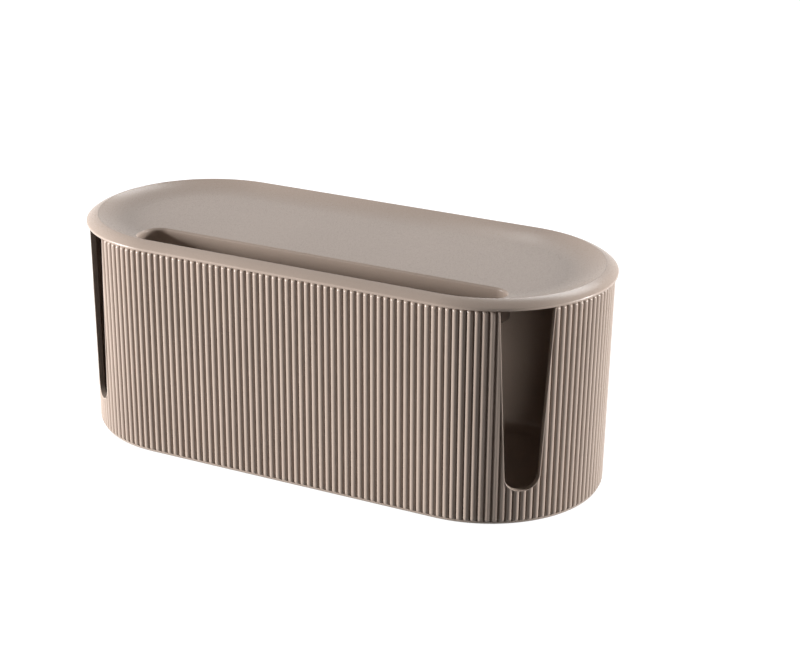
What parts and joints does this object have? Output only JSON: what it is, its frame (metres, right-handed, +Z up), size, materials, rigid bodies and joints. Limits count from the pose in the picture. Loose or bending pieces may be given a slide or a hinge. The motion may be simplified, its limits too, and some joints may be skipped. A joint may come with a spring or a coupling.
{
  "type": "cable management box",
  "caption": "Oval fluted plastic box with a lift-off dished lid; hides a power strip and its leads, which leave through end notches and a slot in the lid.",
  "frame": {"origin": "on the surface the box stands on, under the middle of the oval", "axes": "+X along the box, -Y the side with the lid's slot, +Z up"},
  "size_m": [0.31, 0.135, 0.125],
  "materials": {
    "box_plastic": "satin moulded plastic, warm taupe",
    "lid_plastic": "satin moulded plastic, warm taupe",
    "foot_rubber": "matte soft pad"
  },
  "bodies": {
    "box": {"box_body": "box_plastic", "foot_front_left": "foot_rubber", "foot_front_right": "foot_rubber", "foot_rear_left": "foot_rubber", "foot_rear_right": "foot_rubber"},
    "lid": {"lid": "lid_plastic"}
  },
  "joints": [
    {"name": "lid_lift", "type": "slide", "parent": "box", "child": "lid", "axis": [0, 0, 1], "range_m": [0, 0.06]}
  ]
}
